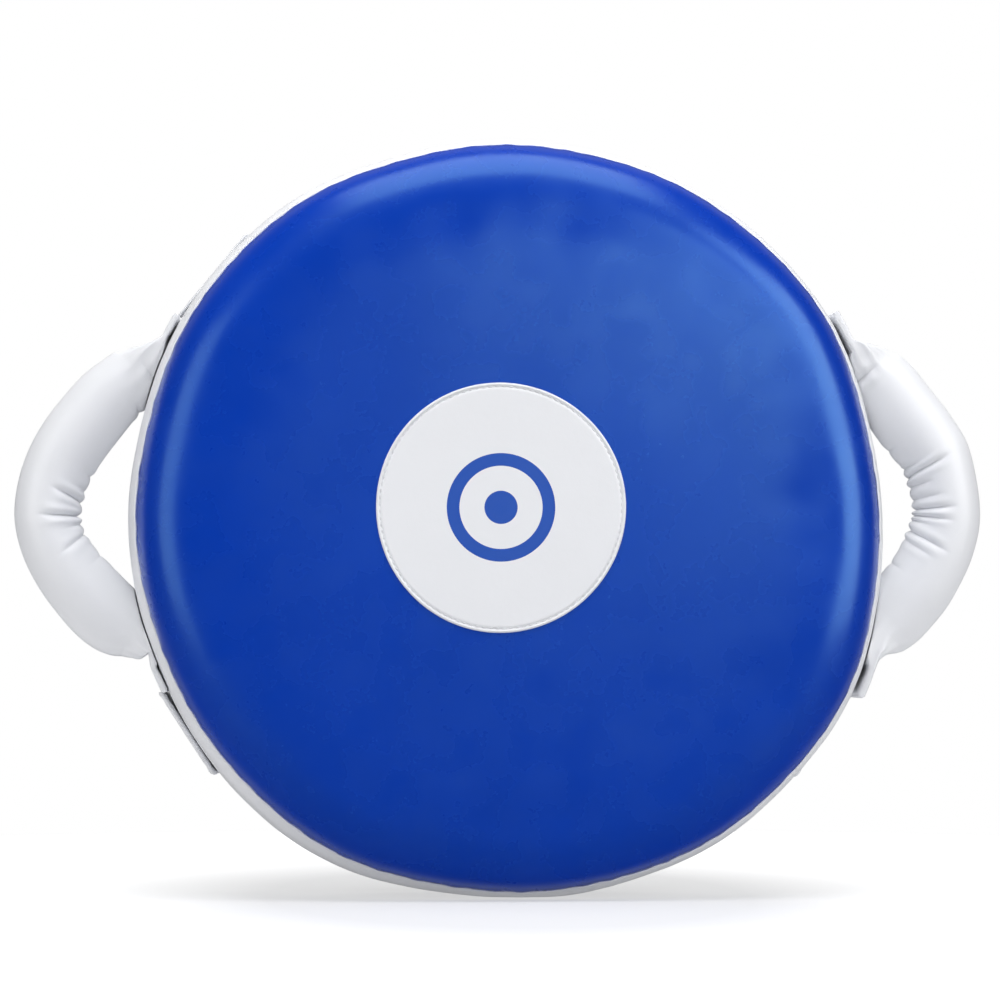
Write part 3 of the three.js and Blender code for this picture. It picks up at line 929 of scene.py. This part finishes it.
def settle_handle(piece):
    """Carries the sewn ends along with the uneven outline of the band."""
    points = points_of(piece)
    radius = np.hypot(points[:, 0], points[:, 2] - axis_height)
    on_band = 1 - smoothstep(radius, band_radius + 6 * MM, band_radius + 30 * MM)
    moved = shaped(points)
    place_points(piece, points + (moved - points) * (0.45 + 0.55 * on_band)[:, None])


def bend_at_roots(piece):
    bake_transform(piece)


def strap_core(name, side, half_width, half_thick, material):
    """A flat strip along the middle of a handle."""
    line = handle_path(name)[0][56:-56]
    outward = np.tile([side * 1.0, 0.0, 0.0], (len(line), 1))
    corners = [(s * half_thick, t * half_width) for s, t in ((1, -1), (1, 1), (-1, 1), (-1, -1))]
    return swept(f"{name}_sleeve_webbing", line, outward, lambda share: corners, False, material)


for name, side in (("left", -1), ("right", 1)):
    sleeve = handle_shape(name, 0, white)
    core = handle_shape(name, 4.6 * MM, soft, creased=False, trim=66)
    strip = strap_core(name, side, 9 * MM, 1.2 * MM, webbing)
    for piece in (sleeve, core, strip):
        settle_handle(piece)
        bend_at_roots(piece)
    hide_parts(f"{name}_handle_cover", f"{name}_upper_tab", f"{name}_lower_tab")
    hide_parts(f"{name}_handle_foam")
    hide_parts(f"{name}_handle_webbing")


# ---------------------------------------------------------------- rear straps
strap_half = 25 * MM
strap_thick = 3.6 * MM
flap_thick = 2.8 * MM
stitch_height = 19.8 * MM  # the rows of stitches lie this far above and below a strap's middle
ring_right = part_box("upper_strap_ring")[1].x - 2 * MM
ring_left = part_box("upper_strap_ring")[0].x + 2 * MM
ring_y = middle("upper_strap_ring").y
bow_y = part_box("upper_long_strap")[1].y - strap_thick / 2
rest_y = rear_seam_y + 4.5 * MM + strap_thick / 2


def flat_section(half_width, half_thick, corner=1.0 * MM):
    """(thickness, width) offsets round a flat strip with soft edges and slightly raised hems."""
    a = np.linspace(-np.pi / 2, np.pi / 2, 6)
    edge = [(half_thick * math.sin(t), half_width - corner + corner * math.cos(t)) for t in a]
    top = []
    for w in np.linspace(half_width - 2 * corner, -half_width + 2 * corner, 17):
        hem = 0.25 * MM * math.exp(-((half_width - abs(w) - 3 * MM) / (1.6 * MM)) ** 2)
        groove = -0.35 * MM * math.exp(-((half_width - abs(w) - 5.2 * MM) / (0.8 * MM)) ** 2)
        top.append((half_thick + hem + groove, w))
    upper = edge + top
    return np.array(upper + [(-t, -w) for t, w in upper])


def strap_knots(side, z, middle_z, stations):
    """(x, y) knots of a strap at height z. A station is (share round the rim, radius or x, y)."""
    off, middle_off = z - axis_height, middle_z - axis_height
    knots = []
    for share, reach, y in stations:
        round_rim = math.sqrt(max(reach**2 - off**2, 0))
        if share == 1:
            # the strap is stiff across its width, so it only touches the round band along its middle
            round_rim = (reach**2 - off * middle_off) / math.sqrt(reach**2 - middle_off**2)
        knots.append((side * (share * round_rim + (1 - share) * reach), y))
    return knots


def strap_line(side, z, middle_z, stations, count):
    """(x, y) along a strap at height z, level with the points along its middle, and which way is out."""
    places = even_places(fine_line(strap_knots(side, middle_z, middle_z, stations)), count)
    line = picked(fine_line(strap_knots(side, z, middle_z, stations)), places)
    ahead = tangents(line)
    return line, np.stack([-ahead[:, 1], ahead[:, 0]], axis=1) * -side


def strap_piece(name, side, middle_z, stations, thick, count, hem=0):
    section = flat_section(strap_half, thick / 2)
    end = np.minimum(np.arange(count), np.arange(count)[::-1])
    taper = np.minimum(1, 0.35 + end / 3)
    taper = taper * (1 + hem * (1 - smoothstep(np.arange(count) / count, 0.18, 0.24)))
    columns = []
    for offset, z in section:
        line, outward = strap_line(side, middle_z + z, middle_z, stations, count)
        moved = line + outward * (offset * taper)[:, None]
        columns.append(np.stack([moved[:, 0], moved[:, 1], np.full(count, middle_z + z)], axis=1))
    points = np.stack(columns, axis=1).reshape(-1, 3)
    points[:, 1] += 0.35 * MM * waviness(points, 40 * MM, 11.0)
    return capped_tubes(name, shaped(points), count, len(section), strap_white)


def strap_stitches(name, side, middle_z, stations, lift):
    """A row of stitches along each edge of a strap, as one piece."""
    rows = []
    for z in (middle_z - stitch_height, middle_z + stitch_height):
        line, outward = strap_line(side, z, middle_z, stations, 150)
        line, outward = (line + outward * lift)[4:145], outward[4:145]
        line = shaped(np.column_stack([line, np.full(len(line), z)]))
        out = np.column_stack([outward, np.zeros(len(line))])
        rows.append(stitch_row(name + "_row", line, out, white_thread, thick=0.4 * MM))
    return joined(name, rows)


def joined(name, pieces):
    """Several pieces as one."""
    points, faces, count = [], [], 0
    material = pieces[0].data.materials[0]
    for piece in pieces:
        own = points_of(piece)
        faces += [tuple(count + i for i in p.vertices) for p in piece.data.polygons]
        points.append(own)
        count += len(own)
        bpy.data.objects.remove(piece)
    return add_mesh(name, np.concatenate(points), faces, material)


def edge_stations(reach, lift):
    """A strap end along the side band, then over the rear seam."""
    steps = np.linspace(rear_seam_y - reach, rear_seam_y - 3 * MM, 5)
    stations = [(1, bulged_radius(y) + lift, y) for y in steps]
    stations.append((1, seam_radius + 3.4 * MM, rear_seam_y + 2.2 * MM))
    stations.append((1, seam_radius + 0.4 * MM, rest_y - 0.8 * MM))
    stations.append((1, seam_radius - 4 * MM, rest_y))
    return stations


def arc_stations(x, radius, start, end, steps):
    angles = np.radians(np.linspace(start, end, steps))
    return [(0, x + radius * math.cos(t), ring_y + radius * math.sin(t)) for t in angles]


def wire_ring(name, centre):
    """A wire ring: a rectangle with round corners, and its welded joint."""
    half_z = half_size("upper_strap_ring").z - 2 * MM
    line = round_rectangle((ring_right - ring_left) / 2, half_z, 5 * MM, 8, 160)
    line = np.stack([centre.x + line[:, 0], np.full(len(line), centre.y), centre.z + line[:, 1]], axis=1)

    def wire(share):
        weld = 0.25 * MM * math.exp(-((share - 0.625) / 0.008) ** 2)
        return oval(2 * MM + weld, 2 * MM + weld, 16)

    return swept(name, line, np.tile([0.0, 1.0, 0.0], (len(line), 1)), wire, material=steel)


def soft_plate(name, node, material):
    """A thin rectangular piece of tape with round corners and soft edges, its face towards +Y."""
    centre, half = middle(node), half_size(node)
    outline = round_rectangle(half.x, half.z, 4 * MM, 7, 120)
    levels = [(0.02, -1), (0.5, -1), (0.985, -1), (1, -0.5), (1, 0.5)]
    levels += [(0.985, 1), (0.9, 1), (0.5, 1), (0.02, 1)]
    points = []
    for share, level in levels:
        y = centre.y + half.y * level
        points += [(centre.x + x * share, y, centre.z + z * share) for x, z in outline]
    return capped_tubes(name, points, len(levels), len(outline), material)


def long_strap_stations(rim):
    """From the right rim to the fold under the ring's right bar."""
    stations = edge_stations(26 * MM, 2.3 * MM)
    stations += [(0.35, rim - 26 * MM, rest_y), (0, rim - 46 * MM, rest_y + 1.5 * MM)]
    stations += [(0, rim - 84 * MM, bow_y - 1.5 * MM), (0, rim - 110 * MM, bow_y)]
    stations += [(0, x * MM, bow_y) for x in (20, -20, -50)]
    return stations + arc_stations(ring_right, ring_y - bow_y, -90, -168, 5)


def ring_strap_stations(rim, reach, lift):
    """From the left rim, round the ring's left bar and back."""
    under = ring_y - 3.9 * MM
    stations = edge_stations(reach, lift)
    stations += [(0.35, rim - 26 * MM, rest_y), (0, rim - 46 * MM, rest_y + 2.5 * MM)]
    stations += [(0, max(rim - 80 * MM, 0.104), under - 1.0 * MM), (0, 0.094, under), (0, 0.084, under)]
    stations += arc_stations(-ring_left, 3.9 * MM, -90, -270, 9)
    back = ((8, 3.4), (15, 0.4), (24, -0.9), (36, -1.4))
    return stations + [(0, -ring_left + x * MM, ring_y + y * MM) for x, y in back]


def flap_stations(node):
    """From the fold round the ring's right bar to the free end, which lies on the long strap."""
    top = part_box(node)[0].y + 1.4 * MM
    stations = arc_stations(ring_right, 3.8 * MM, 198, 80, 9)
    stations += [(0, ring_right + 7 * MM, ring_y + 2.6 * MM), (0, ring_right + 15 * MM, top + 0.4 * MM)]
    stations += [(0, x * MM, top) for x in (-30, -10, 10, 28)]
    return stations + [(0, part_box(node)[1].x - 1.5 * MM, top + 0.1 * MM)]


def rear_strap(name, anchor_reach, anchor_lift, anchor_hem):
    """An arm strap: the long strap, the strap that holds its ring, the folded end and the tapes."""
    z = middle(f"{name}_strap_ring").z
    rim = math.sqrt(seam_radius**2 - (z - axis_height) ** 2)
    long_path = long_strap_stations(rim)
    ring_path = ring_strap_stations(rim, anchor_reach, anchor_lift)
    flap_path = flap_stations(f"{name}_strap_flap")
    strap = strap_piece(f"{name}_back_strap", 1, z, long_path, strap_thick, 170)
    stand_in(strap, f"{name}_long_strap")
    anchor = strap_piece(f"{name}_ring_strap", -1, z, ring_path, flap_thick, 170, anchor_hem)
    stand_in(anchor, f"{name}_anchor_strap")
    flap = strap_piece(f"{name}_folded_end", 1, z, flap_path, flap_thick, 90)
    stand_in(flap, f"{name}_strap_flap", f"{name}_flap")
    ring = wire_ring(f"{name}_wire_ring", middle(f"{name}_strap_ring"))
    stand_in(ring, f"{name}_strap_ring")
    loop_tape = soft_plate(f"{name}_loop_patch", f"{name}_loop_tape", loops)
    stand_in(loop_tape, f"{name}_loop_tape")
    hook_tape = soft_plate(f"{name}_hook_patch", f"{name}_hook_tape", hooks)
    stand_in(hook_tape, f"{name}_hook_tape", f"{name}_flap")
    for label, side, path, thick, carrier in (
        ("back_strap", 1, long_path, strap_thick, "shield"),
        ("ring_strap", -1, ring_path, flap_thick, "shield"),
        ("folded_end", 1, flap_path, flap_thick, f"{name}_flap"),
    ):
        seam = strap_stitches(f"{name}_{label}_stitches", side, z, path, thick / 2 - 0.2 * MM)
        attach(seam, carrier)


rear_strap("upper", 26 * MM, 2.0 * MM, 0)
rear_strap("lower", 45 * MM, 3.9 * MM, 0.5)


# ---------------------------------------------------------------- filling zip
zip_half_angle = 36  # degrees each side of the lowest point
zip_radius = half_size("zip_coil").x / math.sin(math.radians(zip_half_angle)) - 1.5 * MM
zip_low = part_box("zip_coil")[0].y


def zip_point(degrees, radius, y):
    a = math.radians(-90 + degrees)
    return (radius * math.cos(a), y, axis_height + radius * math.sin(a))


def zip_tape(name, inner, outer, low, high):
    points = []
    for d in np.linspace(-zip_half_angle, zip_half_angle, 90):
        section = [
            (inner, low), (inner, high - 0.1 * MM), (inner + 0.4 * MM, high),
            ((inner + outer) / 2, high + 0.05 * MM),
            (outer - 0.4 * MM, high), (outer, high - 0.1 * MM), (outer, low),
        ]
        points += [zip_point(d, r, y) for r, y in section]
    return capped_tubes(name, points, 90, len(section), black_tape)


def zip_teeth():
    """The coil: loops of monofilament, left and right in turn, along the zip."""
    count, rings, sides = 174, 9, 8
    points = []
    for k in range(count):
        d = -35.6 + 71.2 * k / (count - 1)
        lean = 0.5 * MM * (1 if k % 2 else -1)
        for t in np.linspace(0, np.pi, rings):
            r = zip_radius + lean + 1.25 * MM * math.cos(t)
            y = zip_low + 0.5 * MM + 1.15 * MM * math.sin(t) ** 0.7
            here = np.array(zip_point(d, r, y))
            ahead = np.array(zip_point(d + 0.1, r, y)) - here
            ahead /= np.linalg.norm(ahead)
            away = (here - (0, here[1], axis_height)) / zip_radius
            out = np.array([0, math.sin(t), 0]) + math.cos(t) * away
            out /= np.linalg.norm(out)
            for a in np.linspace(0, 2 * np.pi, sides, endpoint=False):
                points.append(here + 0.52 * MM * (ahead * math.cos(a) * 1.15 + out * math.sin(a)))
    return capped_tubes("zip_loops", points, rings, sides, zip_nylon)


stand_in(zip_teeth(), "zip_coil")
for side, inner, outer, sewn in (("inner", -10, -0.15, -7.675), ("outer", 0.15, 10, 7.675)):
    node = f"zip_{side}_tape"
    low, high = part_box(node)
    tape = zip_tape(f"zip_{side}_ribbon", zip_radius + inner * MM, zip_radius + outer * MM, low.y, high.y)
    stand_in(tape, node)
    line = [zip_point(d, zip_radius + sewn * MM, high.y) for d in np.linspace(-35.5, 35.5, 160)]
    upward = np.tile([0.0, 1.0, 0.0], (len(line), 1))
    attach(stitch_row(f"zip_{side}_stitches", line, upward, black_thread), "shield")
for node in ("zip_slider", "zip_pull", "zip_open_stop", "zip_closed_stop"):
    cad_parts[node].data.materials.clear()
    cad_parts[node].data.materials.append(steel)


# ---------------------------------------------------------------- floor, light and camera
def studio_floor():
    look = new_look("studio_floor")
    base = look.ramp(look.texture("Noise", 2, Detail=2), (0.36, 0.362, 0.37), (0.38, 0.382, 0.388))
    # the floor glows less near the shield, in a patch stretched front to back: a painted shadow round its
    # foot
    place = look.add("TexCoord").outputs["Object"]
    wide = look.add("Mapping", place, Scale=(1.9, 1, 1))
    painted_shadow_glow = look.ranged(look.distance(wide.outputs["Vector"]), 0.49, 0.85, 0.28, 0.58)
    # the floor glows as painted light: it is seen, and lights the white parts from below, but isn't mirrored
    rays = look.add("LightPath").outputs
    share = look.math("MULTIPLY_ADD", rays["Is Diffuse Ray"], 0.65, rays["Is Camera Ray"])
    strength = look.math("MULTIPLY", painted_shadow_glow, share)
    material = look.surface(
        Base_Color=base, Roughness=0.7, Emission_Color=(1, 1, 1, 1), Emission_Strength=strength
    )
    a = np.linspace(0, 2 * np.pi, 128, endpoint=False)
    rim = [(0.85 * math.cos(t), 0.85 * math.sin(t), 0) for t in a]
    floor = add_mesh("studio_floor", rim, [tuple(range(128))], material, smooth=False)
    floor.visible_glossy = False


def softbox(name, azimuth, elevation, distance, width, height, power, glossy=True, diffuse=True):
    """A flat studio light that faces the shield. Azimuth is from the front, to the right."""
    target = Vector((0, 0, 0.22))
    a, e = math.radians(azimuth), math.radians(elevation)
    place = Vector((math.sin(a) * math.cos(e), -math.cos(a) * math.cos(e), math.sin(e))) * distance + target
    light = bpy.data.lights.new(name, "AREA")
    light.shape = "RECTANGLE"
    light.size, light.size_y = width, height
    light.energy = power
    lamp = bpy.data.objects.new(name, light)
    lamp.location = place
    lamp.rotation_euler = (target - place).to_track_quat("-Z", "Y").to_euler()
    lamp.visible_camera = False
    lamp.visible_glossy = glossy
    lamp.visible_diffuse = diffuse
    bpy.context.scene.collection.objects.link(lamp)


def studio_world():
    """White behind the shield and dim in front of it, so that the cover's gloss stays deep."""
    world = bpy.data.worlds.new("studio")
    bpy.context.scene.world = world
    look = Look(world)
    place = look.add("TexCoord").outputs["Generated"]
    towards_back = look.ranged(look.add("SeparateXYZ", place).outputs["Y"], 0, 1, -1, 1)

    def background(*stops):
        (low_at, low), (high_at, high) = stops[:2]
        color = look.ramp(towards_back, (low,) * 3, (high,) * 3, low_at, high_at)
        for position, level in stops[2:]:
            color.node.color_ramp.elements.new(position).color = (level, level, level, 1)
        return look.add("Background", color).outputs["Background"]

    seen = look.nodes["Background"]
    seen.inputs["Color"].default_value = (1, 1, 1, 1)
    mirrored = background((0.70, 0.02), (0.86, 0.36), (0.92, 0.20), (0.98, 0.06))
    matt = background((0.52, 0.19), (0.70, 0.58))
    rays = look.add("LightPath").outputs
    unseen = look.add("MixShader", rays["Is Diffuse Ray"], mirrored, matt)
    mix = look.add("MixShader", rays["Is Camera Ray"], unseen.outputs["Shader"], seen.outputs["Background"])
    look.wire(mix.outputs["Shader"], look.nodes["World Output"].inputs["Surface"])


def studio_camera():
    camera = bpy.data.cameras.new("camera")
    camera.lens = 141.6
    camera.sensor_width = 36
    holder = bpy.data.objects.new("camera", camera)
    azimuth, distance = math.radians(-3), 2.36
    aim = Vector((-6.6 * MM, seam_y, axis_height + 10.8 * MM))
    place = aim + distance * Vector((math.sin(azimuth), -math.cos(azimuth), 0))
    place.z = 0.150
    holder.location = place
    holder.rotation_euler = (aim - place).to_track_quat("-Z", "Y").to_euler()
    bpy.context.scene.collection.objects.link(holder)
    bpy.context.scene.camera = holder


studio_floor()
studio_world()
studio_camera()
softbox("left_box", -58, 9, 2.0, 1.0, 1.7, 10)
softbox("left_gloss", -58, 9, 2.0, 1.0, 1.7, 6, diffuse=False)
softbox("right_box", 58, 17, 2.0, 1.2, 2.0, 12.5)
softbox("right_gloss", 60, 17, 2.0, 1.2, 2.0, 20, diffuse=False)
softbox("top_box", 6, 80, 1.8, 1.5, 1.5, 19)
softbox("front_box", 9.8, 10, 2.6, 0.66, 0.46, 4.1)
softbox("shoulder_gloss", 27, 21, 2.4, 0.9, 0.8, 7, diffuse=False)
softbox("front_fill", 0, 60, 1.2, 1.2, 0.7, 8, glossy=False)
softbox("back_box", 180, 40, 2.6, 3.0, 1.6, 16, glossy=False)
bpy.context.scene.view_settings.view_transform = "Standard"
